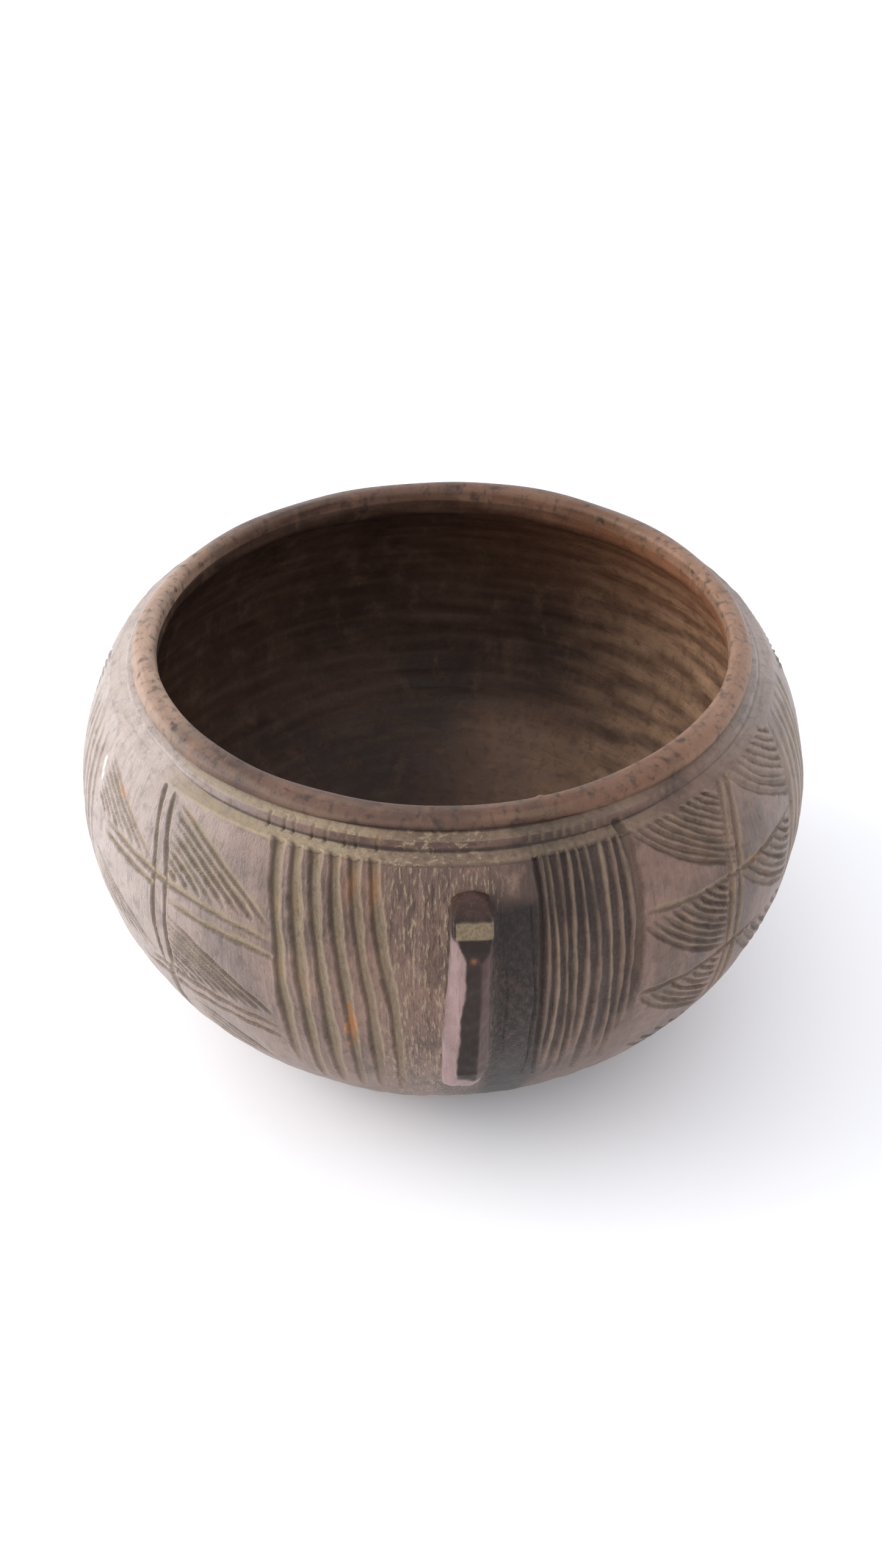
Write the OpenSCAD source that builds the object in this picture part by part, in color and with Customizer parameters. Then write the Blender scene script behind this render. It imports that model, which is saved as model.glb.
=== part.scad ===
// Hand-carved wooden bowl: a low round pot with a wide mouth, a scored collar
// under its lip and one upright lug handle.
// Z is up and the bowl stands on z = 0. The handle is on the -Y side.

/* [Bowl] */
// Largest outside diameter, at the belly
body_d = 220; // [212:1:228]
// Height of the widest ring of the belly above the resting face
belly_z = 80; // [78:0.5:82]
// Radius of the outside curve below the belly
lower_r = 84.8; // [84:0.2:88]
// Radius of the outside curve above the belly
upper_r = 66.3; // [64:0.1:68]
// Height where the lower body ends and the belly starts
belly_bottom_z = 44; // [40:1:48]
// Height where the belly ends and the shoulder starts
belly_top_z = 86; // [84:1:90]
// Height of the top of the shoulder, where the collar starts
shoulder_z = 117.5; // [116:0.5:119]

/* [Hollow] */
// Thickness of the wood at the belly
wall_t = 10; // [8:0.5:11]
// Thickness of the wood under the hollow
floor_t = 11; // [10.5:0.5:14]
// Radius of the hollow's curve below the belly
hollow_lower_r = 70; // [70:0.5:72]
// Radius of the hollow's curve above the belly
hollow_upper_r = 52.2; // [50:0.2:53]

/* [Lip and collar] */
// Inside radius of the mouth
mouth_r = 82.5; // [81:0.5:83.5]
// Outside radius of the lip
lip_r = 90; // [89:0.5:91]
// Height of the top of the lip
lip_z = 127.5; // [126.5:0.5:129]
// Height of the lip's lower edge, where the collar starts
lip_bottom_z = 123; // [122.5:0.5:124]
// Radius of the rounding on the lip's outside edge
lip_round = 3.2; // [2:0.2:3.4]
// Radius of the rounding on the mouth's edge
mouth_round = 1.8; // [1:0.2:2.4]
// Outside radius of the raised ring on the collar, at its top edge
ring_r = 92.7; // [92:0.1:93.2]
// Height of the top edge of the raised ring
ring_z = 121.8; // [121.4:0.1:122.2]
// Height of the collar's lower shelf above the top of the shoulder
shelf_rise = 1.7; // [1.5:0.1:2.2]

/* [Handle] */
// Width of the lug across the bowl's side
lug_w = 13; // [11:0.5:15]
// Distance of the lug's outer face from the bowl's axis
lug_reach = 117.5; // [117:0.5:119]
// Height of the lug's flat worn top
lug_top_z = 110; // [108:0.5:111]
// Height of the lug's lower tip
lug_bottom_z = 49.5; // [48:0.5:52]
// Width of the slanting facets down both edges of the lug
lug_facet = 4.2; // [3:0.1:5]
// Sideways lean of the lug, in degrees
lug_lean = 2.5; // [0:0.5:4]

/* [Hidden] */
$fn = 96;

// The outside is two arcs that meet upright at the belly.
belly_r = body_d / 2;
lower_c = belly_r - lower_r;
upper_c = belly_r - upper_r;
// The hollow is two more arcs, which also meet upright at the belly.
hollow_r = belly_r - wall_t;
hollow_lower_c = hollow_r - hollow_lower_r;
hollow_upper_c = hollow_r - hollow_upper_r;
// A length beyond the bowl on every side
far = 200;

// Outside radius of the plain body at height z
function outside(z) = z < belly_z
    ? lower_c + sqrt(lower_r * lower_r - pow(belly_z - z, 2))
    : upper_c + sqrt(upper_r * upper_r - pow(z - belly_z, 2));

// Half outline of a form made of a lower and an upper arc, from z0 to z1
module arcs_2d(low_c, low_r, high_c, high_r, z0, z1) {
    intersection() {
        translate([0, z0]) square([far, z1 - z0]);
        union() {
            intersection() {
                translate([low_c, belly_z]) circle(low_r);
                translate([low_c, 0]) square([far, belly_z]);
            }
            intersection() {
                translate([high_c, belly_z]) circle(high_r);
                translate([high_c, belly_z]) square([far, far]);
            }
            translate([0, belly_z - low_r]) square([low_c, low_r]);
            translate([0, belly_z]) square([high_c, high_r]);
        }
    }
}

module outside_2d(z0, z1) {
    arcs_2d(lower_c, lower_r, upper_c, upper_r, z0, z1);
}

module hollow_2d(z0, z1) {
    arcs_2d(hollow_lower_c, hollow_lower_r, hollow_upper_c, hollow_upper_r,
            z0, z1);
}

// Thick bottom that the bowl stands on
module base() {
    color("#857a74") rotate_extrude() outside_2d(0, floor_t);
}

// Ring of the bowl's side between two heights
module side(z0, z1) {
    rotate_extrude() difference() {
        outside_2d(z0, z1);
        hollow_2d(z0 - 1, z1 + 1);
    }
}

// Lower side, which curves in to the base
module lower_body() {
    color("#8d817b") side(floor_t, belly_bottom_z);
}

// Widest part of the side
module belly() {
    color("#9a8c86") side(belly_bottom_z, belly_top_z);
}

// Upper side, which closes in to the collar
module shoulder() {
    color("#a2948d") side(belly_top_z, shoulder_z);
}

// Ring under the lip, cut in two steps: a sloping shelf, the face of a raised
// ring, and a second shelf that meets the shoulder
module collar() {
    outer = outside(shoulder_z);
    color("#a59877") rotate_extrude() polygon([
        [mouth_r, shoulder_z], [outer, shoulder_z],
        [outer - 0.8, shoulder_z + shelf_rise - 0.5],
        [ring_r + 0.7, shoulder_z + shelf_rise], [ring_r, ring_z],
        [lip_r - 0.5, lip_bottom_z], [mouth_r, lip_bottom_z]]);
}

// Rounded lip around the mouth
module lip() {
    outer_c = lip_r - lip_round;
    inner_c = mouth_r + mouth_round;
    color("#8a5c3c") rotate_extrude() intersection() {
        translate([0, lip_bottom_z]) square([far, far]);
        union() {
            translate([inner_c, lip_z - mouth_round]) circle(mouth_round);
            translate([outer_c, lip_z - lip_round]) circle(lip_round);
            translate([inner_c, lip_bottom_z])
                square([outer_c - inner_c, lip_z - lip_bottom_z]);
            translate([mouth_r, lip_bottom_z])
                square([outer_c - mouth_r, lip_z - mouth_round - lip_bottom_z]);
            translate([inner_c, lip_bottom_z])
                square([lip_r - inner_c, lip_z - lip_round - lip_bottom_z]);
        }
    }
}

// Side outline of the lug: distance from the axis, height
module lug_side_2d() {
    polygon([
        [90, lug_top_z + 3.5], [lug_reach - 18, lug_top_z + 2.5],
        [lug_reach - 5.5, lug_top_z], [lug_reach - 2.2, lug_top_z - 4],
        [lug_reach - 1, lug_top_z - 10], [lug_reach, lug_top_z - 30],
        [lug_reach - 0.2, lug_bottom_z + 12], [lug_reach - 2, lug_bottom_z + 3],
        [lug_reach - 5, lug_bottom_z], [90, lug_bottom_z - 1]]);
}

// Plan of the lug: a flat outer face between two slanting facets
module lug_plan_2d() {
    half = lug_w / 2;
    polygon([
        [-half, 0], [half, 0], [half - 0.4, -lug_reach + lug_facet + 1],
        [half - lug_facet, -lug_reach], [lug_facet - half, -lug_reach],
        [0.4 - half, -lug_reach + lug_facet + 1]]);
}

// Upright lug handle, cut to sit on the side of the bowl
module handle() {
    middle_z = (lug_top_z + lug_bottom_z) / 2;
    color("#84503c") difference() {
        translate([0, 0, middle_z]) rotate([0, lug_lean, 0])
            translate([0, 0, -middle_z]) intersection() {
                rotate([90, 0, -90]) translate([0, 0, -lug_w])
                    linear_extrude(2 * lug_w) lug_side_2d();
                linear_extrude(far) lug_plan_2d();
            }
        rotate_extrude() outside_2d(0, shoulder_z);
    }
}

base();
lower_body();
belly();
shoulder();
collar();
lip();
handle();
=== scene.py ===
"""A hand-carved wooden bowl with one upright lug handle, in the CAD model's frame.

The bowl is one grid of points: rows along its outline, columns round its axis. Cuts and
wear move the points and marks on them drive the colours. The grid is then split into the
CAD model's regions, each one closed piece. The lug is a remeshed block of its own.
"""

import math

import bmesh
import bpy
import numpy as np
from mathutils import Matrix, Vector


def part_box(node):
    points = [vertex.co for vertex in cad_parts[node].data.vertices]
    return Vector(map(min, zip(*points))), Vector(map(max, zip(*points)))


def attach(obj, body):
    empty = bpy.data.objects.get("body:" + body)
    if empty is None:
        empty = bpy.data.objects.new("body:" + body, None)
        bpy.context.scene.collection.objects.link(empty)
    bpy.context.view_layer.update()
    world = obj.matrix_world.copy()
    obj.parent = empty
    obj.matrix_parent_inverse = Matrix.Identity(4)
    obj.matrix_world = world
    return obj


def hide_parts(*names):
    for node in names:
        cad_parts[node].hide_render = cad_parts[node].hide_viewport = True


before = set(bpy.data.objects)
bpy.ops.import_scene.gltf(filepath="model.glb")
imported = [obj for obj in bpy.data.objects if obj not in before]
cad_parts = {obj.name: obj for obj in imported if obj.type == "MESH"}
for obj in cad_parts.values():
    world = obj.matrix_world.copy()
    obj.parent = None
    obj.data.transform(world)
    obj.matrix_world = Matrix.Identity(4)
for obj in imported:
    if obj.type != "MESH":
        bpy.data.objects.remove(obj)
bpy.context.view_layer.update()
MM = 0.001

# ---------- sizes, in mm
_, base_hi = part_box("base")
belly_lo, belly_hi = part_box("belly")
shoulder_lo, shoulder_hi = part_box("shoulder")
_, collar_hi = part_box("collar")
_, lip_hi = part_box("lip")
lug_lo, lug_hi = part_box("handle")

BELLY_R = belly_hi.x / MM
FLOOR_Z = base_hi.z / MM
LOWER_TOP_Z = belly_lo.z / MM
BELLY_TOP_Z = shoulder_lo.z / MM
SHOULDER_Z = shoulder_hi.z / MM
COLLAR_TOP_Z = collar_hi.z / MM
LIP_Z = lip_hi.z / MM
LIP_R = lip_hi.x / MM

BELLY_Z = 80.0          # height of the widest ring
LOWER_R = 84.8          # outside curve below the belly
UPPER_R = 66.3          # outside curve above the belly
WALL_T = 10.0           # wood left at the belly
HOLLOW_LOWER_R = 70.0   # hollow's curve below the belly
HOLLOW_UPPER_R = 52.2   # hollow's curve above the belly
MOUTH_R = 82.5
MOUTH_EXTRA = 1.5       # how much wider the mouth is towards left and right

LUG_HALF = 6.0          # half the lug's width where it meets the side
LUG_MID_Z = (lug_lo.z + lug_hi.z) / 2 / MM
LUG_LEAN = 0.044        # sideways drift of the lug per mm of height

FINE_TO = 84.0          # degrees either side of the handle that get the finest columns
FINE, COARSE = 0.19, 0.36   # column spacing there and round the back, in degrees
STEP = 0.45             # row spacing on the outside, in mm
CRUMBLE = 0.045         # how ragged the edges of the cuts are
BAND = 0.36             # narrowest band of colour beside a cut that the grid can hold, mm
INNER_STEP = 1.5        # row spacing in the hollow
CUT_STEPS = 8           # samples of a cut's path between two of its points
NARROW_R = 55.0         # the carved side is never narrower than this
RNG = np.random.default_rng(11)


def arc(cx, cz, r, a0, a1, step):
    """Points on an arc in the (radius, height) plane; angles from level, in degrees."""
    n = max(2, int(round(abs(math.radians(a1 - a0)) * r / step)) + 1)
    a = np.radians(np.linspace(a0, a1, n))
    return np.stack([cx + r * np.cos(a), cz + r * np.sin(a)], -1)


def line(p, q, step):
    """Points on a straight line from p to q, about step apart."""
    n = max(2, int(round(math.dist(p, q) / step)) + 1)
    return np.linspace(p, q, n)


def joined(*parts):
    """Stretches of outline that meet end to end, as one."""
    out = [parts[0]]
    for p in parts[1:]:
        out.append(p[1:])
    return np.concatenate(out)


def fall(z, r, cz=BELLY_Z):
    """Angle below or above level at which an arc about the belly reaches height z."""
    return math.degrees(math.asin((z - cz) / r))


LOWER_C = BELLY_R - LOWER_R
UPPER_C = BELLY_R - UPPER_R
HOLLOW_LOWER_C = BELLY_R - WALL_T - HOLLOW_LOWER_R
HOLLOW_UPPER_C = BELLY_R - WALL_T - HOLLOW_UPPER_R
FOOT_R = LOWER_C + LOWER_R * math.cos(math.radians(fall(0, LOWER_R)))


def side_arc(z0, z1, low_c, low_r, high_c, high_r, step):
    """The side's outline between two heights, through the belly if it lies between."""
    parts = []
    if z0 < BELLY_Z:
        parts.append(arc(low_c, BELLY_Z, low_r, fall(z0, low_r),
                         fall(min(z1, BELLY_Z), low_r), step))
    if z1 > BELLY_Z:
        parts.append(arc(high_c, BELLY_Z, high_r, fall(max(z0, BELLY_Z), high_r),
                         fall(z1, high_r), step))
    return joined(*parts)


def outer_arc(z0, z1):
    return side_arc(z0, z1, LOWER_C, LOWER_R, UPPER_C, UPPER_R, STEP)


def inner_arc(z0, z1):
    return side_arc(z0, z1, HOLLOW_LOWER_C, HOLLOW_LOWER_R, HOLLOW_UPPER_C,
                    HOLLOW_UPPER_R, INNER_STEP)


def outside_r(z):
    """Outside radius of the plain side at height z (arrays allowed)."""
    z = np.asarray(z, float)
    low = LOWER_C + np.sqrt(np.maximum(LOWER_R**2 - (BELLY_Z - z) ** 2, 0))
    high = UPPER_C + np.sqrt(np.maximum(UPPER_R**2 - (z - BELLY_Z) ** 2, 0))
    return np.where(z < BELLY_Z, low, high)


def rise(z):
    """Length along the outside from the belly up to height z; negative below it."""
    z = np.asarray(z, float)
    low = np.arcsin(np.clip((z - BELLY_Z) / LOWER_R, -1, 1)) * LOWER_R
    high = np.arcsin(np.clip((z - BELLY_Z) / UPPER_R, -1, 1)) * UPPER_R
    return np.where(z < BELLY_Z, low, high)


# ---------- smooth seeded variation
def waves(rng, count, low, high, size):
    """A sum of sines over (angle, length): each is whole-numbered around the bowl."""
    k = rng.integers(low[0], high[0] + 1, count)
    m = rng.uniform(low[1], high[1], count) * rng.choice([-1, 1], count)
    p = rng.uniform(0, 2 * np.pi, count)
    a = rng.uniform(0.5, 1.0, count)
    a *= size / np.sqrt((a**2).sum() / 2)
    return k, m, p, a


def wave_sum(w, phi, s):
    """The waves' height at angle phi (radians) and length s."""
    out = np.zeros(np.broadcast(phi, s).shape)
    for k, m, p, a in zip(*w):
        out += a * np.sin(k * phi + m * s + p)
    return out


FORM = waves(RNG, 7, (1, 0.005), (4, 0.03), 0.22)
HAND = waves(RNG, 16, (5, 0.05), (16, 0.16), 0.12)
ADZE = waves(RNG, 26, (30, 0.03), (90, 0.25), 0.055)
TOOL = waves(RNG, 22, (2, 0.5), (14, 1.1), 0.10)
# Two spare sets are drawn and dropped, so that every draw after them stays what it was
waves(RNG, 10, (4, 0.05), (30, 0.3), 0.35)
waves(RNG, 30, (6, 0.05), (60, 0.5), 1.0)
SPECK = waves(RNG, 40, (40, 0.3), (260, 2.2), 1.0)

# ---------- the carved design
# A cut's points are (degrees from the handle, right positive, and height in mm); its
# width and depth are in mm.
CUTS = []
V_CUT, U_CUT = 1.0, 2.4     # how square a cut's section is: the power it falls off by


def cut(points, width, depth, dust=0.7, shape=U_CUT, taper=(0.25, 0.25), lean=0.0,
        on_shelf=False):
    """Note one cut. dust is how pale it is inside, taper the share of its length over
    which either end fades, and lean how much deeper one side of it is."""
    CUTS.append((np.array(points, float), width, depth, dust, shape, taper, lean,
                 on_shelf))


def flutes_left():
    """Six wide gouged flutes that drift towards the handle as they go down."""
    for i in range(6):
        top, low = -29.8 + 3.15 * i, -26.6 + 3.32 * i
        path = [(top - 0.6, 124), (top, 118.5), (top + 0.5, 112), (top + 1.55, 101),
                (top + 2.45, 91), (low - 0.45, 79), (low - 0.05, 68), (low + 0.15, 56),
                (low + 0.1, 44), (low - 0.2, 33)]
        if i == 0:      # the first one ends higher
            path = path[:-1]
        cut(path, 3.5 if i < 3 else 3.1, 1.5, 0.95 - 0.05 * i, lean=0.45,
            taper=(0.01, 0.25))


def cracks_right():
    """Two fine upright drying cracks in the plain panel right of the handle."""
    cut([(9.6, 112), (9.4, 96), (9.7, 80), (9.3, 66), (9.5, 52), (9.2, 40)],
        0.8, 0.7, 0.0, V_CUT, (0.1, 0.3))
    cut([(5.4, 92), (5.6, 80), (5.3, 68), (5.5, 58)], 0.8, 0.5, 0.0, V_CUT)


# Crests left standing between the grooves right of the handle: degrees from the
# handle, and the height at which each one dies out
CRESTS = ((11.9, 46), (13.1, 40), (14.7, 38), (16.1, 52), (17.7, 40), (19.5, 44),
          (21.7, 42), (23.4, 56), (24.9, 50))
CREST_W = 0.9
GROOVE_TOP, CREST_TOP = 121, 118.5      # where the grooves and the crests start, mm


def crest_at(i, z):
    """Angle of crest i at height z: the crests wander a little."""
    return CRESTS[i][0] + 0.28 * math.sin(0.07 * z + 1.7 * i) - 0.006 * (110 - z)


def flutes_right():
    """Narrow scored grooves between thin crests, then one wide one at the end."""
    cut([(10.9, 119), (11.2, 110), (11.0, 100), (10.8, 90), (10.6, 75), (10.6, 62),
         (10.9, 50), (11.4, 40)], 2.2, 1.9, 0.05, V_CUT, (0.01, 0.3))
    steps = np.linspace(0, 1, 8)
    for i in range(len(CRESTS) - 1):
        heights = GROOVE_TOP + (CRESTS[i][1] - GROOVE_TOP) * steps
        gap = math.radians(CRESTS[i + 1][0] - CRESTS[i][0]) * BELLY_R
        cut([((crest_at(i, z) + crest_at(i + 1, z)) / 2, z) for z in heights],
            gap - 0.45 * CREST_W, 1.2, 0.05, 1.8, (0.01, 0.3))
    for i in range(len(CRESTS)):
        heights = CREST_TOP + (CRESTS[i][1] - CREST_TOP) * steps
        cut([(crest_at(i, z), z) for z in heights], CREST_W * (1.3 + 0.3 * (i % 2)), 0,
            0.36 + 0.2 * math.sin(2.3 * i), U_CUT, (0.01, 0.3))
    cut([(26.2, 123), (26.4, 117), (26.6, 108), (26.3, 98), (25.9, 90), (25.6, 80),
         (25.3, 70), (25.2, 60)], 3.4, 1.5, 0.2, U_CUT, (0.05, 0.35), 0.0, True)


def fan(corner, reach, count, start=1.0, stop=0.18, bend=0.5, swing=(4, 86),
        width=1.7, depth=0.8, dust=0.6, lean=0.3):
    """Nested strokes about a corner. reach is (degrees, mm) from the corner to the
    ends of the longest stroke, and its signs say which way the fan opens. start and
    stop are the longest and shortest stroke as shares of reach."""
    for k in range(count):
        f = start + (stop - start) * k / max(1, count - 1)
        jig = RNG.uniform(-0.25, 0.25, 4)
        pts = []
        for j in range(6):
            u = j / 5
            a = math.radians(swing[0] + (swing[1] - swing[0]) * u)
            # between a straight chord (bend 0) and a full quarter ellipse (bend 1)
            ex, ey = math.cos(a), math.sin(a)
            cx, cy = 1 - u, u
            x = f * (bend * ex + (1 - bend) * cx)
            y = f * (bend * ey + (1 - bend) * cy)
            pts.append((corner[0] + reach[0] * x + 0.35 * jig[j % 4],
                        corner[1] + reach[1] * y + jig[(j + 1) % 4]))
        cut(pts, width * RNG.uniform(0.85, 1.15) * (0.6 + 0.4 * f),
            depth * RNG.uniform(0.75, 1.15),
            dust * RNG.uniform(0.7, 1.15), U_CUT,
            (RNG.uniform(0.05, 0.3), RNG.uniform(0.05, 0.25)), lean)


def line_pair(left, right, width=2.2, depth=1.2, dust=0.5):
    for path in (left, right):
        cut(path, width, depth, dust, U_CUT, (0.02, 0.1), 0.3)


def panel_left():
    """Fan panel left of the handle: an upright pair, two level pairs, six fans."""
    line_pair([(-53.9, 118.5), (-53, 111), (-52, 104), (-51.4, 98), (-51, 90),
               (-50.9, 80), (-50.4, 71), (-50, 62.5)],
              [(-51.3, 118), (-50.4, 110.3), (-49.3, 103.7), (-48.5, 97.5),
               (-48.2, 89), (-48.3, 80), (-48.2, 71), (-48.2, 63)], 1.7, 0.85, 0.7)
    cut([(-47.6, 65.5), (-49, 61), (-49.8, 54), (-50.6, 44), (-51.2, 33), (-51.5, 22)],
        3.2, 1.0, 0.5)
    for path in ([(-66, 96.3), (-58, 95.8), (-50.6, 95.2), (-40, 94.6), (-28.8, 92.3)],
                 [(-66, 92.6), (-58, 92.2), (-50.8, 91.4)],
                 [(-47.5, 89.9), (-40, 89.3), (-33, 88.6), (-28, 87.2)],
                 [(-53.6, 61.5), (-51, 62.6), (-47, 63), (-38, 61.6), (-28.6, 60)],
                 [(-58, 57.6), (-51, 58.6), (-46, 57.6), (-37, 56.6), (-28.2, 55.3)]):
        cut(path, 2.4, 0.95, 0.95, U_CUT, (0.12, 0.06), 0.3)
    for corner, reach, count, bend, width, depth, dust in (
            ((-49.4, 96.3), (20.3, 20.5), 8, 0.36, 2.1, 0.8, 0.8),
            ((-48.2, 64), (19.2, 21), 9, 0.3, 1.8, 0.8, 0.5),
            ((-70.5, 97), (19, 15.5), 7, 0.25, 1.8, 0.6, 0.7),
            ((-70, 64.5), (18.4, 17.5), 7, 0.35, 1.8, 0.6, 0.45),
            ((-46.5, 34), (14, 19), 6, 0.5, 1.8, 0.5, 0.45),
            ((-68, 36), (15, 18), 6, 0.5, 1.8, 0.5, 0.4)):
        fan(corner, reach, count, bend=bend, width=width, depth=depth, dust=dust,
            lean=-0.35)


def panel_right(turn=0.0, drop=0.0, ease=1.0):
    """Fan panel right of the handle: strokes open towards the lower left. turn moves it
    round the bowl, drop lowers its top, in mm, and ease makes its cuts shallower."""
    def at(*points):
        return [(a + turn, z) for a, z in points]

    line_pair(at((47.4, 119 - drop), (46.1, 113 - drop / 2), (45, 107), (44.3, 100.5),
                 (44, 93), (43.9, 83), (44.1, 71), (44.4, 58), (44.6, 44)),
              at((49.7, 120 - drop), (48.3, 112.5 - drop / 2), (47.2, 105.6),
                 (46.5, 98.5), (46.1, 91), (45.9, 80), (46.2, 69), (46.4, 58),
                 (46.8, 44)), 2.3, 1.35 * ease, 0.2)
    for path in (at((27, 97.4), (34, 95.6), (43, 94.4), (50, 93.4), (58, 94), (64, 95)),
                 at((26.5, 69.2), (35, 68.4), (44, 68.4), (54, 68.8))):
        cut(path, 1.9, 0.8, 0.5, U_CUT, (0.08, 0.3), 0.2)
    for a, z, reach, count, start, bend, width, depth, dust in (
            (46.4, 119.3 - drop, (-19.6, -22.6 + drop), 10, 1, 0.22, 1.9, 1.15, 0.2),
            (43.6, 95.2, (-17.4, -25.2), 9, 0.98, 0.36, 1.9, 1.1, 0.2),
            (43.4, 68.2, (-16.6, -23), 8, 1, 0.36, 1.8, 1, 0.35),
            (66.2, 120 - drop, (-17, -22.5 + drop), 8, 1, 0.3, 1.8, 1, 0.15),
            (63.4, 94.5, (-17.2, -24), 8, 1, 0.35, 1.8, 1, 0.3),
            (63, 68.5, (-16, -23), 7, 1, 0.4, 1.8, 0.9, 0.3),
            (43.2, 42, (-15, -16), 5, 1, 0.4, 1.7, 0.8, 0.4)):
        fan((a + turn, z), reach, count, start, bend=bend, width=width,
            depth=depth * ease, dust=dust)


def band_far(start, step, count, lean_by, dust, depth=1.1, top=114):
    """A band of long flutes at the side or back; lean_by drifts their tops, in degrees."""
    for i in range(count):
        a = start + step * i
        cut([(a + lean_by, top), (a + 0.55 * lean_by, 109), (a + 0.2 * lean_by, 100),
             (a, 88), (a, 70), (a - 0.1 * lean_by, 55), (a, 36 + 3 * (i % 2))],
            2.9, depth, dust, U_CUT, (0.15, 0.25), 0.3)


flutes_left()
flutes_right()
cracks_right()
panel_left()
panel_right()
band_far(64.6, 2.9, 6, 3.0, 0.3, top=118)
band_far(-86.5, 2.7, 6, -2.0, 0.25, depth=0.45)
panel_right(turn=60.0, drop=5.0, ease=0.7)
band_far(128, 3.0, 6, 2.0, 0.4, depth=0.9, top=112)
for fan_corner, fan_reach in (((-92, 97), (-19, 20)), ((-92, 64), (-19, 22)),
                              ((-114, 97), (-17, 19)), ((-114, 64), (-17, 22))):
    fan(fan_corner, fan_reach, 8, bend=0.5, dust=0.6)
line_pair([(-111.2, 114), (-111.5, 100), (-112, 80), (-112, 60), (-111.5, 40)],
          [(-113.7, 114), (-114, 100), (-114.4, 80), (-114.3, 60), (-114, 40)])
for level in (96, 62.5):
    cut([(-90, level), (-112, level - 0.6), (-132, level)], 2.2, 0.9, 0.8)
band_far(-150, 3.1, 6, -1.5, 0.5, depth=0.9, top=112)
for a in (168, 173.5, 179, -175.5, -170):
    cut([(a, 113), (a + 0.4, 100), (a, 80), (a - 0.3, 60), (a, 42)], 2.6, 1.1, 0.5)


def spline(pts, n):
    """Catmull-Rom curve through the points, sampled at n points."""
    p = np.concatenate([[2 * pts[0] - pts[1]], pts, [2 * pts[-1] - pts[-2]]])
    t = np.linspace(0, len(pts) - 1, n)
    i = np.minimum(t.astype(int), len(pts) - 2)
    u = (t - i)[:, None]
    a, b, c, d = p[i], p[i + 1], p[i + 2], p[i + 3]
    return 0.5 * (2 * b + (c - a) * u + (2 * a - 5 * b + 4 * c - d) * u**2
                  + (3 * b - a - 3 * c + d) * u**3)


def smooth(e0, e1, x):
    """0 at e0, 1 at e1 and eased between them; e1 may be the smaller one."""
    t = np.clip((x - e0) / (e1 - e0), 0, 1)
    return t * t * (3 - 2 * t)


def between(lo, hi, value, soft):
    """1 from lo to hi, fading to 0 over soft on either side of each."""
    return smooth(lo - soft, lo + soft, value) * smooth(hi + soft, hi - soft, value)


# ---------- the whole outline, as one grid
FOOT_ROUND = 2.5        # worn edge round the underside, mm
RING_R, RING_Z = 92.7, 121.8    # top edge of the collar's raised ring
RING_FOOT_R = 93.4      # foot of the ring's face, where the lower shelf starts
SHELF_Z = 119.2
SHELF_END_R, SHELF_END_Z = 97.6, 118.7
SHELF_TOP_R = LIP_R - 0.5   # inner corner of the upper shelf, under the lip
EDGE_R = float(outside_r(SHOULDER_Z))
FLOOR_R = HOLLOW_LOWER_C + HOLLOW_LOWER_R * math.cos(
    math.radians(fall(FLOOR_Z, HOLLOW_LOWER_R)))


def worn(points, step, passes=2):
    """Straight stretches between the points, evenly sampled, with the corners worn."""
    p = np.array(points, float)
    run = np.concatenate([[0], np.cumsum(np.linalg.norm(np.diff(p, axis=0), axis=1))])
    at = np.linspace(0, run[-1], int(run[-1] / step) + 2)
    out = np.stack([np.interp(at, run, p[:, 0]), np.interp(at, run, p[:, 1])], -1)
    for _ in range(passes):
        out[1:-1] = 0.25 * out[:-2] + 0.5 * out[1:-1] + 0.25 * out[2:]
    return out


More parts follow.
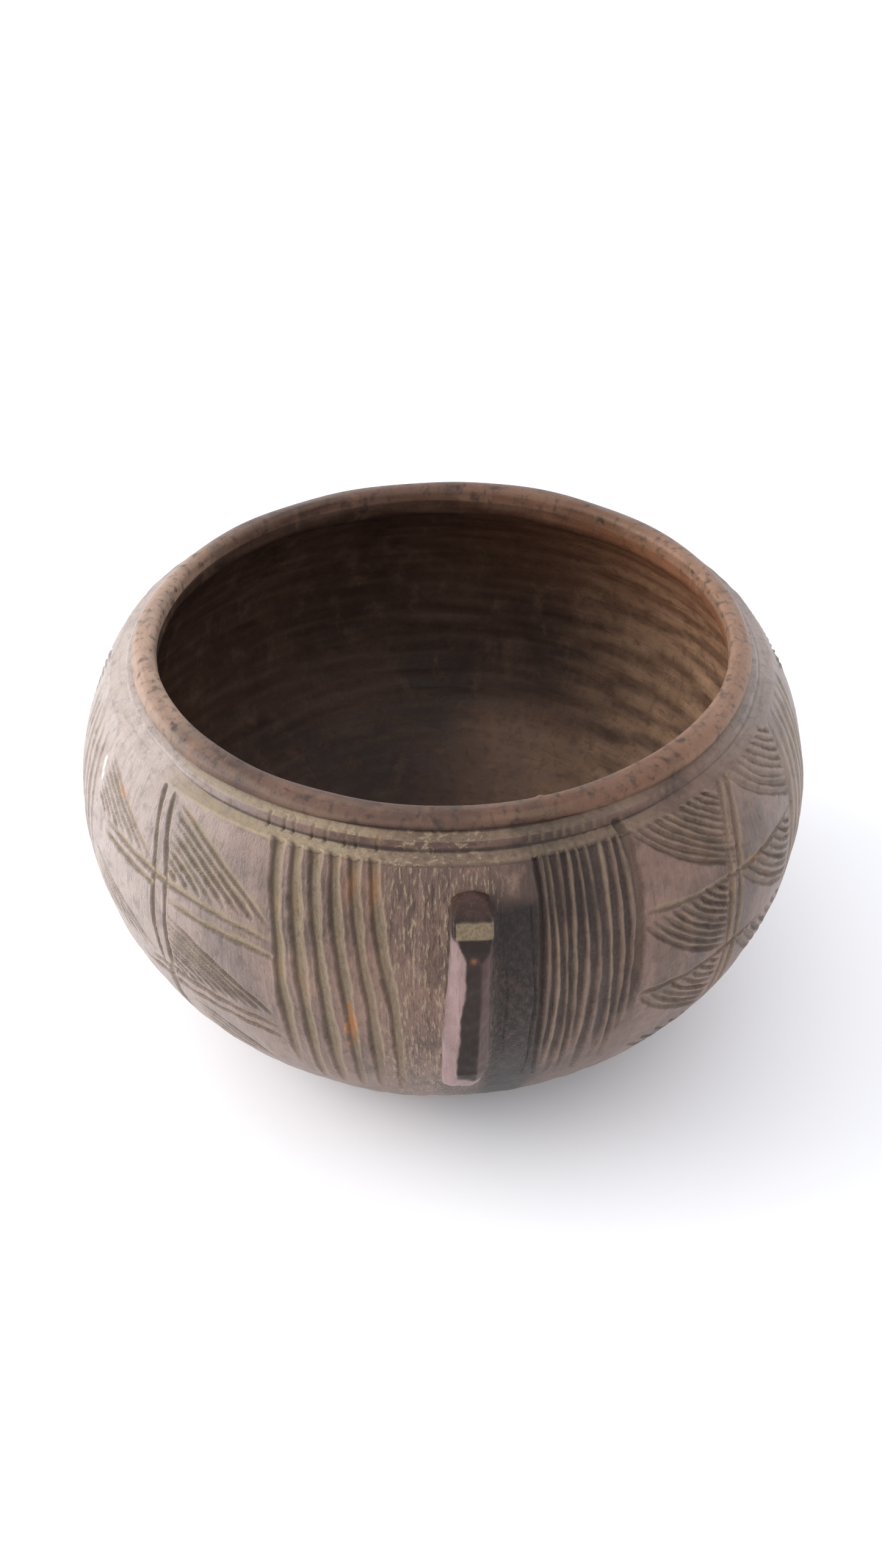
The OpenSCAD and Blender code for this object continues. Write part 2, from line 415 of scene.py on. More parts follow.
def outline_parts():
    """The outline from the middle of the underside, up, over the lip and down inside
    to the middle of the hollow's floor, in stretches that meet end to end."""
    foot_top = arc(LOWER_C, BELLY_Z, LOWER_R, fall(0.9, LOWER_R), fall(FLOOR_Z, LOWER_R),
                   STEP)
    under = joined(line((0.6, 0.0), (FOOT_R - FOOT_ROUND, 0.0), 1.0),
                   line((FOOT_R - FOOT_ROUND, 0.0), tuple(foot_top[0]), STEP))
    collar = worn([(EDGE_R, SHOULDER_Z), (SHELF_END_R, SHELF_END_Z),
                   (SHELF_END_R - 0.5, SHELF_END_Z + 0.02), (RING_FOOT_R, SHELF_Z),
                   (RING_R, RING_Z), (RING_R - 0.3, RING_Z + 0.1),
                   (SHELF_TOP_R, COLLAR_TOP_Z)], 0.2)
    lip = worn([(SHELF_TOP_R, COLLAR_TOP_Z), (SHELF_TOP_R + 0.35, COLLAR_TOP_Z + 0.9),
                (SHELF_TOP_R + 0.1, COLLAR_TOP_Z + 2.2), (88.5, LIP_Z - 1.0),
                (87.2, LIP_Z - 0.3), (85.8, LIP_Z), (84.3, LIP_Z),
                (83.3, LIP_Z - 0.5), (82.8, LIP_Z - 1.4), (MOUTH_R, COLLAR_TOP_Z)],
               0.25, 3)
    hollow_top = inner_arc(BELLY_TOP_Z, SHOULDER_Z)[::-1]
    throat = worn([(MOUTH_R, COLLAR_TOP_Z), (MOUTH_R + 0.1, COLLAR_TOP_Z - 2.5),
                   (MOUTH_R + 0.6, SHOULDER_Z + 1.2), tuple(hollow_top[0])], 0.6)
    return [("base", joined(under, foot_top)),
            ("lower_body", outer_arc(FLOOR_Z, LOWER_TOP_Z)),
            ("belly", outer_arc(LOWER_TOP_Z, BELLY_TOP_Z)),
            ("shoulder", outer_arc(BELLY_TOP_Z, SHOULDER_Z)),
            ("collar", collar),
            ("lip", lip),
            ("collar", throat),
            ("shoulder", hollow_top),
            ("belly", inner_arc(LOWER_TOP_Z, BELLY_TOP_Z)[::-1]),
            ("lower_body", inner_arc(FLOOR_Z, LOWER_TOP_Z)[::-1]),
            ("base", line((FLOOR_R, FLOOR_Z), (0.6, FLOOR_Z), 1.0))]


PARTS = outline_parts()
OUTLINE = joined(*[p for _, p in PARTS])
ENDS = np.cumsum([0] + [len(p) - 1 for _, p in PARTS])
SPANS = {}
for number, (part_name, _) in enumerate(PARTS):
    SPANS.setdefault(part_name, []).append(slice(ENDS[number], ENDS[number + 1] + 1))
OUTER = slice(0, ENDS[5] + 1)      # rows on the outside, up to the lip

tangent = np.gradient(OUTLINE, axis=0)
tangent /= np.linalg.norm(tangent, axis=1)[:, None]
NORMAL = np.stack([tangent[:, 1], -tangent[:, 0]], -1)
RUN = np.concatenate([[0], np.cumsum(np.linalg.norm(np.diff(OUTLINE, axis=0), axis=1))])
RUN -= RUN[np.argmax(OUTLINE[:, 0])]
FRONT = np.arange(-FINE_TO, FINE_TO, FINE)
BACK = np.linspace(FINE_TO, 360 - FINE_TO, int((360 - 2 * FINE_TO) / COARSE),
                   endpoint=False)
DEG = np.sort((np.concatenate([FRONT, BACK]) + 180) % 360 - 180)[None, :]
COLUMNS = DEG.size
PHI = np.radians(DEG)
R = OUTLINE[:, :1]
Z = OUTLINE[:, 1:]
S = RUN[:, None]
SHAPE = (len(OUTLINE), COLUMNS)
cut_depth = np.zeros(SHAPE)     # wood cut away, mm
burr_height = np.zeros(SHAPE)   # wood raised beside a cut, mm
cut_dust = np.zeros(SHAPE)      # pale dust lying in the cuts
cut_shade = np.zeros(SHAPE)     # painted shade along a cut's steep edge, the wall turned from the light
cut_lit_edge = np.zeros(SHAPE)       # painted highlight along its other edge, the wall turned to the light
speck = wave_sum(SPECK, PHI, S)


def carve(points, width, depth, dust, shape, taper, lean, on_shelf):
    """Carve one cut into the grid of the outside. A cut lies to the left of its path
    where side is 1. Most cuts stop where they meet the collar's lower shelf."""
    n = CUT_STEPS * (len(points) - 1) + 1
    path = spline(points, n)
    deg = np.radians(path[:, 0])
    along = rise(path[:, 1])
    mid = deg.mean()
    half = width / 2
    reach = half * 1.9 + 1.0
    rows = np.where((RUN[OUTER] > along.min() - reach)
                    & (RUN[OUTER] < along.max() + reach))[0]
    turn = (PHI[0] - mid + np.pi) % (2 * np.pi) - np.pi
    cols = np.where(np.abs(turn) < np.abs(deg - mid).max() + reach / NARROW_R)[0]
    rr = R[rows]
    x = turn[cols][None, :] * rr
    y = np.broadcast_to(S[rows], x.shape)
    px = deg - mid
    best = np.full(x.shape, np.inf)
    side = np.zeros(x.shape)
    where = np.zeros(x.shape)
    for i in range(n - 1):
        ax, dx = px[i] * rr, (px[i + 1] - px[i]) * rr
        ay, dy = along[i], along[i + 1] - along[i]
        t = np.clip(((x - ax) * dx + (y - ay) * dy) / (dx * dx + dy * dy + 1e-9), 0, 1)
        ex, ey = x - ax - t * dx, y - ay - t * dy
        e = ex * ex + ey * ey
        near = e < best
        best = np.where(near, e, best)
        side = np.where(near, np.sign(dx * ey - dy * ex), side)
        where = np.where(near, (i + t) / (n - 1), where)
    fade = (np.clip(where / max(taper[0], 1e-3), 0, 1)
            * np.clip((1 - where) / max(taper[1], 1e-3), 0, 1)) ** 0.6
    if not on_shelf:
        fade = fade * np.maximum(smooth(SHELF_END_R - 0.8, SHELF_END_R - 0.3, rr),
                                 Z[rows] < SHOULDER_Z)
    wander = (1 + 0.14 * np.sin(path[0, 0] + 9 * where)
              + 0.10 * np.sin(path[0, 1] + 31 * where))
    block = np.ix_(rows, cols)
    a = np.sqrt(best) / (half * (0.5 + 0.5 * fade) * wander)
    a *= 1 + CRUMBLE * speck[block]
    deep = depth * fade * wander * np.clip(1 - a**shape, 0, 1) * (1 - lean * side * a)
    band = max(0.22, BAND / half)
    burr = 0.12 * depth * fade * np.exp(-(((a - 1.25) / band) ** 2))
    # Painted light: shade along the steep wall turned from the light, and a pale highlight
    # along the other edge
    steep = side * (1 if lean < 0 else -1) * min(1, abs(lean) * 5)
    shade = (np.exp(-(((a - 0.75) / band) ** 2)) * np.clip(0.35 + steep, 0, 1) * fade
             * min(1, depth))
    rub = np.exp(-(((a - 1.05) / band) ** 2)) * np.clip(-steep, 0, 1) * fade
    cut_shade[block] = np.maximum(cut_shade[block], shade)
    cut_lit_edge[block] = np.maximum(cut_lit_edge[block], rub * min(1, depth))
    cut_depth[block] = np.maximum(cut_depth[block], deep)
    burr_height[block] = np.maximum(burr_height[block], burr)
    cut_dust[block] = np.maximum(cut_dust[block], smooth(1.0, 0.5, a) * fade * dust)


for one_cut in CUTS:
    carve(*one_cut)

outside = np.zeros((len(OUTLINE), 1))
outside[OUTER] = 1
on_collar = smooth(SHOULDER_Z - 0.5, SHOULDER_Z + 0.5, Z) * outside
on_collar *= Z < COLLAR_TOP_Z + 0.1
on_side = smooth(3, 12, Z) * outside


def lug_fillet():
    """Wood left standing along both sides of the lug's root, in mm."""
    size = 1.3
    away = np.abs(np.radians(DEG) * R - LUG_LEAN * (Z - LUG_MID_Z)) - LUG_HALF
    beyond = np.maximum(np.maximum(lug_lo.z / MM + 3 - Z, Z - lug_hi.z / MM + 5), 0)
    gap = np.sqrt(np.maximum(away, 0) ** 2 + beyond**2)
    return size * np.exp(-((gap / size) ** 1.3)) * outside


def off_from(deg):
    """Degrees from an angle to each column, the short way round."""
    return (DEG - deg + 180) % 360 - 180


def across_ring(angles, width):
    """How far into a nick each column lies, for nicks at these angles."""
    nick = np.zeros((1, COLUMNS))
    for a in angles:
        nick = np.maximum(nick, np.exp(-((off_from(a) / width) ** 4)))
    return nick


def ring_nicks():
    """Short nicks across the collar's raised ring; the right ones run on downwards."""
    left = across_ring([-33.2, -30.3, -28.5, -25.2, -22.8, -19.5, -17.6, -14.1], 0.24)
    right = across_ring([11, 13.2, 15.3, 16.8, 18.4, 20.3, 22.3, 24.3], 0.34)
    on_ring = smooth(RING_R - 1.6, RING_R - 0.6, R) * smooth(95, 94.2, R)
    on_shelf = smooth(RING_R - 1.6, RING_R - 0.6, R) * smooth(98.5, 98, R)
    return (0.5 * left * on_ring + 0.35 * right * on_shelf) * on_collar


def fill_share():
    """How far the collar's steps are filled: they die out left of the handle, and
    run on softer at the right and round the back."""
    left = smooth(-44, -60, DEG) * (1 - 0.35 * smooth(-115, -150, DEG))
    right = smooth(26, 42, DEG) * (0.5 + 0.15 * smooth(90, 150, DEG))
    return np.clip(left + right + 0.06 * np.sin(5 * PHI + 1), 0, 1)


def collar_fill():
    """Height added to the collar where its steps are filled, in mm."""
    slope = np.interp(R, [SHELF_TOP_R, RING_R, EDGE_R],
                      [COLLAR_TOP_Z, RING_Z - 0.1, SHOULDER_Z])
    return FILLED * (slope - Z) * on_collar


def mouth_widening():
    """The mouth is a little wider from left to right than from front to back, mm."""
    lip_inside = smooth(87.6, 84.0, R) * (Z > COLLAR_TOP_Z - 0.01)
    inner_wall = smooth(96, 114, Z) * (1 - outside)
    return MOUTH_EXTRA * np.sin(PHI) ** 2 * np.maximum(lip_inside, inner_wall)


def lip_marks():
    """A hard nub and two small chips on the mouth's inner edge, in mm of height."""
    on_edge = np.exp(-((R - 83.8) / 0.9) ** 2) * (Z > COLLAR_TOP_Z + 1)
    out = np.zeros(SHAPE)
    for deg, wide, tall in ((14.5, 0.65, 0.45), (-80.5, 1.0, -0.8), (99.5, 1.1, -0.8)):
        out += tall * np.exp(-(((DEG - deg) / wide) ** 2)) * on_edge
    return out


def back_swell():
    """The shoulder stands out a little round the back, and lies in at the left, mm."""
    left = off_from(-92)
    return (1.0 * smooth(95, 128, np.abs(DEG)) * between(102, 117, Z, 6)
            - 0.7 * np.exp(-((left / 34) ** 2 + ((Z - 98) / 20) ** 2))) * outside


NICKS = ring_nicks()
FILLED = fill_share()
RAISED = collar_fill()
WIDENED = mouth_widening()
form = wave_sum(FORM, PHI, S)
hand = wave_sum(HAND, PHI, S)
tool = wave_sum(TOOL, PHI, S + 2.5 * np.sin(2 * PHI))
lift = (form * smooth(0, 30, Z) + (hand + wave_sum(ADZE, PHI, S)) * on_side
        - cut_depth + burr_height + lug_fillet() - NICKS + back_swell() + lip_marks()
        + (1 - outside) * (0.5 * hand + 0.9 * tool) * smooth(2, 12, R))

# ---------- surface marks
def spot(deg, z, wide, tall, strength=1.0):
    """A soft round mark on the side; wide and tall are in mm."""
    off = np.radians(off_from(deg)) * float(outside_r(z))
    return strength * np.exp(-((off / wide) ** 2 + ((S - rise(z)) / tall) ** 2)) * outside


def angles_between(lo, hi, soft):
    """1 from angle lo to angle hi, going right, fading over soft degrees."""
    half = (hi - lo) / 2
    return smooth(half + soft, half - soft, np.abs(off_from((lo + hi) / 2)))


# Dust on the collar's shelves, thin where the steps are filled, and painted shade in its
# corners
patchy = np.clip(0.85 + 0.15 * speck, 0.15, 1)
lower_shelf = between(RING_FOOT_R + 0.3, EDGE_R - 0.4, R, 0.2) * on_collar
upper_shelf = between(SHELF_TOP_R + 0.2, RING_R - 0.1, R, 0.2) * on_collar
upper_shelf *= Z > RING_Z - 0.1
shelf_dust = np.maximum(0.95 * lower_shelf, 0.85 * upper_shelf) * patchy
shelf_dust *= (1 - 0.9 * FILLED) * (1 - 0.65 * smooth(-20, -8, DEG)
                                   - 0.2 * smooth(24, 40, DEG)
                                   - 0.85 * smooth(-110, -160, DEG))
shelf_dust = np.maximum(shelf_dust, np.clip(NICKS, 0, 0.6))
crease_shade = np.exp(-(((R - SHELF_TOP_R) / 0.3) ** 2 + ((Z - COLLAR_TOP_Z) / 0.5) ** 2))
crease_shade = np.maximum(crease_shade, np.exp(-(((R - RING_FOOT_R) / 0.35) ** 2
                                     + ((Z - SHELF_Z) / 0.5) ** 2)))
crease_shade = crease_shade * outside * (1 - FILLED)

dust = np.maximum(cut_dust * np.clip(0.9 + 0.12 * speck, 0.2, 1), shelf_dust)
# The painted highlights of the cuts' lit edges go in with the pale dust
dust = np.maximum(dust, 0.55 * cut_lit_edge)
# Bare orange wood where a flute has lost its surface, and in a few smaller spots
bare = 0.9 * smooth(0.3, 0.45, spot(-16.7, 67.5, 1.7, 8) * (1 + 0.35 * speck))
for deg, z, wide, tall, strength in ((-17.2, 112, 1.4, 4, 0.5), (-13.8, 112, 1.4, 6, 0.5),
                                     (-63.5, 107.5, 3, 1.2, 0.7), (50.8, 92.5, 3, 0.8, 0.6)):
    bare = np.maximum(bare, spot(deg, z, wide, tall, strength))
# Dark soot right of the handle with the handle's cast shadow painted in over it, painted
# shade deeper in the right-hand grooves, and painted shade along the cuts' steep edges
dark_patches = np.clip(0.97 + 0.06 * speck, 0, 1)
soot_and_shadow = np.maximum(angles_between(2.5, 12, 2.5) * smooth(112, 106, Z) * on_side * dark_patches,
                  angles_between(9, 27, 2) * (0.3 + 0.5 * smooth(0.2, 0.9, cut_depth))
                  * on_side)
grime_and_shade = np.maximum(soot_and_shadow * (1 - 0.7 * dust), 0.6 * cut_shade)
grime_and_shade = np.maximum(grime_and_shade, 0.9 * crease_shade)
fleck = np.zeros(SHAPE)     # white flecks on the left
for deg, z, tall in ((-71.8, 107.5, 2.4), (-71.2, 103.5, 1.6), (-61.5, 80.6, 0.8)):
    ragged = spot(deg, z, 0.9, tall) * (1 + 0.45 * speck)
    fleck = np.maximum(fleck, 0.8 * smooth(0.45, 0.6, ragged))
streaky = np.clip(wave_sum(TOOL, PHI, 1.7 * S + 3 * np.sin(PHI)) * 5, 0, 1)
dust = np.maximum(dust, (1 - outside) * 0.2 * streaky)
# Pale bloom, partly a dusty bloom and partly painted sheen and light on the bright left and
# right sides, and chips left upright by the knife
bloom_and_sheen = 0.95 * angles_between(-125, -42, 28) * outside
bloom_and_sheen = np.maximum(bloom_and_sheen, 0.75 * angles_between(62, 115, 22) * outside)
# On the lip: painted light on the left and right sides, painted shade at the front and back
on_lip = (Z > COLLAR_TOP_Z + 0.3) * (R > MOUTH_R - 0.1)
lip_sides = np.maximum(angles_between(-125, -55, 15), angles_between(50, 125, 15))
bloom_and_sheen = np.where(on_lip, np.maximum(0.45 * lip_sides, 0.85 * angles_between(-125, -60, 15)),
                 bloom_and_sheen)
lip_shade = 0.12 * (1 - lip_sides)
grime_and_shade = np.where(on_lip, lip_shade * (1 - 0.6 * angles_between(25, 50, 12)), grime_and_shade)
# Inside: painted light in arcs on the right wall and the right of the floor, which face the
# light, and painted shade elsewhere
lit_arcs = np.clip(0.6 + 1.2 * wave_sum(TOOL, PHI, 0.8 * S + 2 * np.sin(PHI)) / 0.1, 0, 1)
inside_right = angles_between(22, 140, 24) * between(3, 112, Z, 7) * (1 - outside)
bloom_and_sheen = np.maximum(bloom_and_sheen, inside_right * (0.3 + 0.7 * lit_arcs))
floor_right = smooth(-10, 40, R * np.sin(PHI)) * between(-1, 40, Z, 8) * (1 - outside)
bloom_and_sheen = np.maximum(bloom_and_sheen, 0.4 * floor_right)
inside_shade = (1 - outside) * (1 - np.maximum(angles_between(25, 140, 25), floor_right))
inside_shade *= 0.45 + 0.3 * smooth(0, 70, R * np.abs(np.cos(PHI)))
grime_and_shade = np.maximum(grime_and_shade, 0.7 * inside_shade * (1 - on_lip))
chips = np.maximum(angles_between(-12, 5, 2), 0.2 * angles_between(-90, -12, 10))
chips = np.maximum(chips, 0.1) * on_side
chips = np.maximum(chips, 0.35 * inside_right)
# Painted warm light on the upper right inner wall, where the light falls
warm_light = (1 - outside) * smooth(70, 115, Z) * smooth(-0.3, 0.9, np.sin(PHI))
warm_light = warm_light * (1 - 0.4 * on_lip)
MARKS = np.stack(np.broadcast_arrays(dust, bare, grime_and_shade, fleck), -1)
TONES = np.stack(np.broadcast_arrays(bloom_and_sheen, chips, warm_light, np.zeros(SHAPE)), -1)
# Where the grain runs: round the bowl as a point on a circle, and along the outline
GRAIN = np.stack(np.broadcast_arrays(np.sin(PHI), -np.cos(PHI), S * MM), -1)

# ---------- building meshes
def placed(name, data):
    """A new object in the scene."""
    obj = bpy.data.objects.new(name, data)
    bpy.context.collection.objects.link(obj)
    return obj


def turned(rows):
    """World points, in metres, of some rows of the grid."""
    r = R[rows] + NORMAL[rows, :1] * lift[rows] + WIDENED[rows]
    z = Z[rows] + NORMAL[rows, 1:] * lift[rows] + RAISED[rows]
    return np.stack([r * np.sin(PHI), -r * np.cos(PHI), z], -1) * MM


def paint(mesh, marks, tones, grain):
    """Store what the materials read: marks are dust with painted highlights on lit cut
    edges, bare wood, grime with painted shade, and flecks, and tones are bloom with painted
    sheen and light, knife chips, painted warm light and nothing."""
    for name, values in (("marks", marks), ("tones", tones)):
        layer = mesh.attributes.new(name, "FLOAT_COLOR", "POINT")
        layer.data.foreach_set("color", values.astype(np.float32).ravel())
    layer = mesh.attributes.new("grain", "FLOAT_VECTOR", "POINT")
    layer.data.foreach_set("vector", grain.astype(np.float32).ravel())


def mesh_from(name, points, faces, sharp):
    """A smooth-shaded object from points and a list of face arrays. sharp takes the
    edges' end points and says which edges are sharp."""
    mesh = bpy.data.meshes.new(name)
    mesh.vertices.add(len(points))
    mesh.vertices.foreach_set("co", points.ravel())
    corners = np.concatenate([f.ravel() for f in faces]).astype(np.int32)
    sizes = np.concatenate([np.full(len(f), f.shape[1]) for f in faces])
    mesh.loops.add(len(corners))
    mesh.loops.foreach_set("vertex_index", corners)
    mesh.polygons.add(len(sizes))
    starts = np.concatenate([[0], np.cumsum(sizes)[:-1]]).astype(np.int32)
    mesh.polygons.foreach_set("loop_start", starts)
    mesh.update(calc_edges=True)
    mesh.polygons.foreach_set("use_smooth", np.ones(len(sizes), bool))
    ends = np.empty(len(mesh.edges) * 2, np.int32)
    mesh.edges.foreach_get("vertices", ends)
    layer = mesh.attributes.new("sharp_edge", "BOOLEAN", "EDGE")
    layer.data.foreach_set("value", sharp(ends.reshape(-1, 2)))
    return placed(name, mesh)


def bowl_piece(node, outer, inner):
    """One region of the bowl as a closed solid, from its rows of the grid. The joints
    that it hides against its neighbours stay sharp, so they don't bend the shading."""
    spans = SPANS[node]
    rows = np.concatenate([np.arange(s.start, s.stop) for s in spans])
    count = len(rows)
    points = turned(rows).reshape(-1, 3)
    layers = [values[rows].reshape(-1, values.shape[-1]) for values in (MARKS, TONES, GRAIN)]
    i = np.arange(count - 1)[:, None] * COLUMNS
    j = np.arange(COLUMNS)[None, :]
    k = (j + 1) % COLUMNS
    faces = [np.stack([i + j, i + k, i + COLUMNS + k, i + COLUMNS + j], -1).reshape(-1, 4)]
    last = (count - 1) * COLUMNS
    first_inside = spans[0].stop - spans[0].start if len(spans) == 2 else count
    inside = np.repeat(np.arange(count - 1) >= first_inside, COLUMNS)
    if node == "base":
        n = len(points)
        points = np.concatenate([points, [points[:COLUMNS].mean(0),
                                          points[-COLUMNS:].mean(0)]])
        layers = [np.concatenate([v, v[:1], v[-1:]]) for v in layers]
        hub = np.full(COLUMNS, n)
        faces.append(np.stack([k[0], j[0], hub], -1))
        faces.append(np.stack([last + j[0], last + k[0], hub + 1], -1))
        inside = np.concatenate([inside, np.zeros(COLUMNS), np.ones(COLUMNS)])
        seams = []
    else:
        faces.append(np.stack([last + j[0], last + k[0], k[0], j[0]], -1))
        inside = np.concatenate([inside, np.zeros(COLUMNS)])
        seams = [0, count - 1]
    if len(spans) == 2:
        seams += [first_inside - 1, first_inside]

    def sharp(ends):
        row = ends // COLUMNS
        return (row[:, 0] == row[:, 1]) & np.isin(row[:, 0], seams)

    obj = mesh_from("carved_" + node, points, faces, sharp)
    paint(obj.data, *layers)
    obj.data.materials.append(outer)
    obj.data.materials.append(inner)
    obj.data.polygons.foreach_set("material_index", inside.astype(np.int32))
    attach(obj, "root")
    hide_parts(node)
    return obj


# ---------- materials
class Nodes:
    """Short names for building a shader."""

    def __init__(self, name):
        self.material = bpy.data.materials.new(name)
        self.material.use_nodes = True
        self.tree = self.material.node_tree
        self.tree.nodes.clear()
        self.out = self.tree.nodes.new("ShaderNodeOutputMaterial")

    def new(self, kind, **values):
        node = self.tree.nodes.new("ShaderNode" + kind)
        for key, value in values.items():
            if key in node.inputs:
                node.inputs[key].default_value = value
            else:
                setattr(node, key, value)
        return node

    def link(self, a, b):
        self.tree.links.new(a, b)

    def coords(self, scale):
        """Object coordinates scaled by (x, y, z) features per metre."""
        tex = self.new("TexCoord")
        mapping = self.new("Mapping", Scale=scale)
        self.link(tex.outputs["Object"], mapping.inputs["Vector"])
        return mapping.outputs["Vector"]

    def noise(self, scale, detail=4.0, rough=0.55, distort=0.0):
        """Noise in object space, with scale (x, y, z) features per metre."""
        node = self.new("TexNoise", Scale=1.0, Detail=detail, Roughness=rough,
                        Distortion=distort)
        self.link(self.coords(scale), node.inputs["Vector"])
        return node.outputs["Fac"]

    def along(self, scale, detail=4.0, rough=0.55):
        """Noise stretched with the grain: features round the bowl, and per metre."""
        tex = self.new("Attribute", attribute_name="grain")
        mapping = self.new("Mapping", Scale=(scale[0], scale[0], scale[1]))
        self.link(tex.outputs["Vector"], mapping.inputs["Vector"])
        node = self.new("TexNoise", Scale=1.0, Detail=detail, Roughness=rough)
        self.link(mapping.outputs["Vector"], node.inputs["Vector"])
        return node.outputs["Fac"]

    def split(self, name):
        """The four channels of a stored colour."""
        tex = self.new("Attribute", attribute_name=name)
        parts = self.new("SeparateColor")
        self.link(tex.outputs["Color"], parts.inputs[0])
        return (*parts.outputs, tex.outputs["Alpha"])

    def ramp(self, value, lo, hi, out_lo=0.0, out_hi=1.0):
        """value eased from lo..hi to out_lo..out_hi."""
        node = self.new("MapRange", clamp=True, interpolation_type="SMOOTHSTEP",
                        **{"From Min": lo, "From Max": hi, "To Min": out_lo,
                           "To Max": out_hi})
        self.link(value, node.inputs["Value"])
        return node.outputs["Result"]

    def math(self, op, a, b=None):
        node = self.new("Math", operation=op)
        for slot_number, value in enumerate((a, b)):
            if value is None:
                continue
            if isinstance(value, (int, float)):
                node.inputs[slot_number].default_value = value
            else:
                self.link(value, node.inputs[slot_number])
        return node.outputs[0]

    def times(self, a, b):
        return self.math("MULTIPLY", a, b)

    def mix(self, fac, a, b):
        """Colour a where fac is 0, and b where it is 1."""
        node = self.new("Mix", data_type="RGBA")
        for slot_name, value in (("A", a), ("B", b)):
            socket = [s for s in node.inputs if s.name == slot_name and s.type == "RGBA"][0]
            if isinstance(value, tuple):
                socket.default_value = (*value, 1.0)
            else:
                self.link(value, socket)
        if isinstance(fac, (int, float)):
            node.inputs[0].default_value = fac
        else:
            self.link(fac, node.inputs[0])
        return [s for s in node.outputs if s.type == "RGBA"][0]


def srgb(r, g, b):
    """Screen colour, 0 to 255, as a linear colour."""
    out = []
    for v in (r, g, b):
        v /= 255
        out.append(v / 12.92 if v <= 0.04045 else ((v + 0.055) / 1.055) ** 2.4)
    return tuple(out)


def wood(name, light, mid, dark, dust, bare, bloom_and_sheen, streak=(34, 26), chip=(150, 300),
         gloss=0.5, bump=0.5, sheen=0.12, rough_on_dark=0.1, spotty=0.35, shine=0.3):
    """Weathered carved wood: blotches, grain, knife chips, pores and dust in cuts.
    streak and chip are the scales of the grain and the chips, gloss is the middle
    roughness, and spotty is how strong the dark spots are."""
    n = Nodes(name)
    times = n.times
    dust_and_lit_edge, bared, grime_and_shade, fleck = n.split("marks")
    bloomed_and_lit, chipped, warm_light, _ = n.split("tones")
    blotch = n.noise((36, 36, 30), 4, 0.6, 0.4)
    cloud = n.noise((120, 120, 80), 5, 0.65, 0.3)
    streaks = n.along(streak, 5, 0.62)
    chips = n.along(chip, 3, 0.6)
    fine = n.noise((2300, 2300, 1500), 3, 0.6)
    crumb = n.noise((1300, 1300, 900), 4, 0.65)
    spots = n.noise((330, 330, 260), 4, 0.6, 0.2)
    busy = n.math("ADD", times(chipped, 0.65), 0.35)
    base = n.mix(times(n.ramp(blotch, 0.42, 0.64), 0.65), mid, dark)
    base = n.mix(times(n.ramp(cloud, 0.5, 0.72), 0.6), base, light)
    # The bloom mark brings in painted sheen and light as well as a dusty bloom
    base = n.mix(times(bloomed_and_lit, n.ramp(cloud, 0.3, 0.6, 0.7, 1.0)), base, bloom_and_sheen)
    # Painted warm light
    base = n.mix(times(warm_light, 0.6), base, bare)
    base = n.mix(times(n.ramp(spots, 0.48, 0.72), spotty), base, dark)
    base = n.mix(times(times(n.ramp(streaks, 0.52, 0.68), 0.5), busy), base, dark)
    base = n.mix(times(times(n.ramp(streaks, 0.46, 0.3), 0.35), busy), base, light)
    base = n.mix(times(times(n.ramp(chips, 0.44, 0.32), 0.5), busy), base, dark)
    pale = times(n.ramp(chips, 0.53, 0.64), n.ramp(fine, 0.3, 0.6, 0.5, 1.0))
    base = n.mix(times(pale, n.math("ADD", times(chipped, 0.8), 0.03)), base, dust)
    base = n.mix(times(n.ramp(fine, 0.6, 0.72), 0.35), base, dark)
    # The dust mark also holds the painted highlights of lit cut edges
    dusting_and_lit_edge = times(dust_and_lit_edge, n.ramp(crumb, 0.32, 0.6, 0.55, 1.0))
    base = n.mix(dusting_and_lit_edge, base, dust)
    base = n.mix(times(dusting_and_lit_edge, n.ramp(cloud, 0.55, 0.7, 0.0, 0.35)), base, bare)
    base = n.mix(times(bared, n.ramp(fine, 0.35, 0.6, 0.55, 1.0)), base, bare)
    # The grime mark brings in painted shade as well as dirt
    base = n.mix(times(grime_and_shade, n.ramp(crumb, 0.3, 0.6, 0.8, 1.0)), base, SOOT_AND_SHADE)
    base = n.mix(fleck, base, srgb(225, 222, 205))
    bsdf = n.new("BsdfPrincipled", **{"Specular IOR Level": shine,
                                      "Sheen Weight": sheen, "Sheen Roughness": 0.45})
    n.link(base, bsdf.inputs["Base Color"])
    rough = n.math("ADD", n.ramp(cloud, 0.3, 0.7, gloss - 0.08, gloss + 0.08),
                   n.math("ADD", times(dusting_and_lit_edge, 0.3), times(grime_and_shade, rough_on_dark)))
    n.link(rough, bsdf.inputs["Roughness"])
    height = n.math("ADD", times(times(streaks, 0.5), busy), times(fine, 0.3))
    height = n.math("ADD", height, times(cloud, 0.5))
    height = n.math("ADD", height, times(chips, n.math("ADD", chipped, 0.2)))
    height = n.math("ADD", height, times(crumb, 0.3))
    bumped = n.new("Bump", Strength=bump, Distance=0.0008)
    n.link(height, bumped.inputs["Height"])
    n.link(bumped.outputs["Normal"], bsdf.inputs["Normal"])
    n.link(bsdf.outputs[0], n.out.inputs["Surface"])
    return n.material


KHAKI = srgb(150, 134, 108)
BARE = srgb(168, 112, 66)
LILAC = srgb(167, 154, 148)
